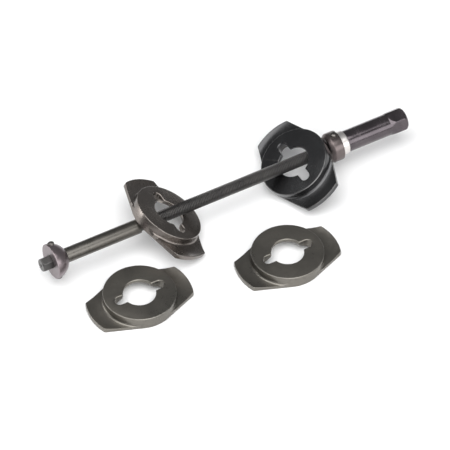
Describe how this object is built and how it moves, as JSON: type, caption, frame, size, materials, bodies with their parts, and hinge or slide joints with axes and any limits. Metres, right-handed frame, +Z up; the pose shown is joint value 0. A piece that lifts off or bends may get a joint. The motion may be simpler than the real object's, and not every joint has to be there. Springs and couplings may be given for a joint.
{
  "type": "coil spring compressor",
  "caption": "Internal coil spring compressor: threaded spindle with ball collars, winged plates, thrust bearing and long drive nut, plus spare plates.",
  "frame": {"origin": "centre of the whole kit's footprint, on the surface that it lies on", "axes": "+X along the spindle towards the drive hexagon, +Z up, +Y away from the spare plates"},
  "size_m": [0.579, 0.2528, 0.0685],
  "materials": {
    "spindle_steel": "satin blued steel, oiled",
    "collar_steel": "satin tempered steel with a plum tint",
    "pin_steel": "satin blued steel",
    "left_plate_forging": "satin forged steel, brownish grey oxide",
    "right_plate_forging": "satin forged steel, near-black oxide",
    "spare_plate_forging": "satin forged steel, dark grey oxide",
    "bearing_steel": "ground and polished",
    "bearing_band_steel": "bright pressed sheet",
    "cage_brass": "stamped brass",
    "nut_steel": "semi-gloss blued steel"
  },
  "bodies": {
    "spindle": {"spindle": "spindle_steel", "fixed_collar": "collar_steel", "fixed_cross_pin": "pin_steel"},
    "carriage": {"travelling_collar": "collar_steel", "key_pin_upper": "pin_steel", "key_pin_lower": "pin_steel", "housing_washer": "bearing_steel", "bearing_band": "bearing_band_steel"},
    "cage": {"bearing_cage": "cage_brass", "bearing_balls": "bearing_steel"},
    "nut": {"drive_nut": "nut_steel", "shaft_washer": "bearing_steel"},
    "left_plate": {"left_plate": "left_plate_forging"},
    "right_plate": {"right_plate": "right_plate_forging"},
    "spare_plate_a": {"spare_plate_a": "spare_plate_forging"},
    "spare_plate_b": {"spare_plate_b": "spare_plate_forging"}
  },
  "joints": [
    {"name": "nut_turn", "type": "hinge", "parent": "carriage", "child": "nut", "pos_m": [0.1935, 0.0508, 0.03928], "axis": [-1, 0, 0], "range_deg": [0, 10100]},
    {"name": "carriage_travel", "type": "slide", "parent": "spindle", "child": "carriage", "axis": [-1, 0, 0], "range_m": [0, 0.07]},
    {"name": "cage_turn", "type": "hinge", "parent": "carriage", "child": "cage", "pos_m": [0.188, 0.0508, 0.03928], "axis": [-1, 0, 0], "range_deg": [0, 5052]},
    {"name": "left_plate_tilt", "type": "hinge", "parent": "spindle", "child": "left_plate", "pos_m": [-0.0899, 0.0508, 0.03928], "axis": [0, 0.9914, 0.1305], "range_deg": [0, 59]},
    {"name": "right_plate_tilt", "type": "hinge", "parent": "carriage", "child": "right_plate", "pos_m": [0.112, 0.0508, 0.03928], "axis": [0, -1, 0], "range_deg": [0, 59]},
    {"name": "spare_plate_a_slide", "type": "slide", "parent": "spindle", "child": "spare_plate_a", "axis": [0, -1, 0], "range_m": [0, 0.12]},
    {"name": "spare_plate_b_slide", "type": "slide", "parent": "spindle", "child": "spare_plate_b", "axis": [0, -1, 0], "range_m": [0, 0.12]}
  ],
  "couplings": [
    {"joint": "nut_turn", "follows": "carriage_travel", "rad_per_m": 2513.3},
    {"joint": "cage_turn", "follows": "carriage_travel", "rad_per_m": 1256.6}
  ]
}
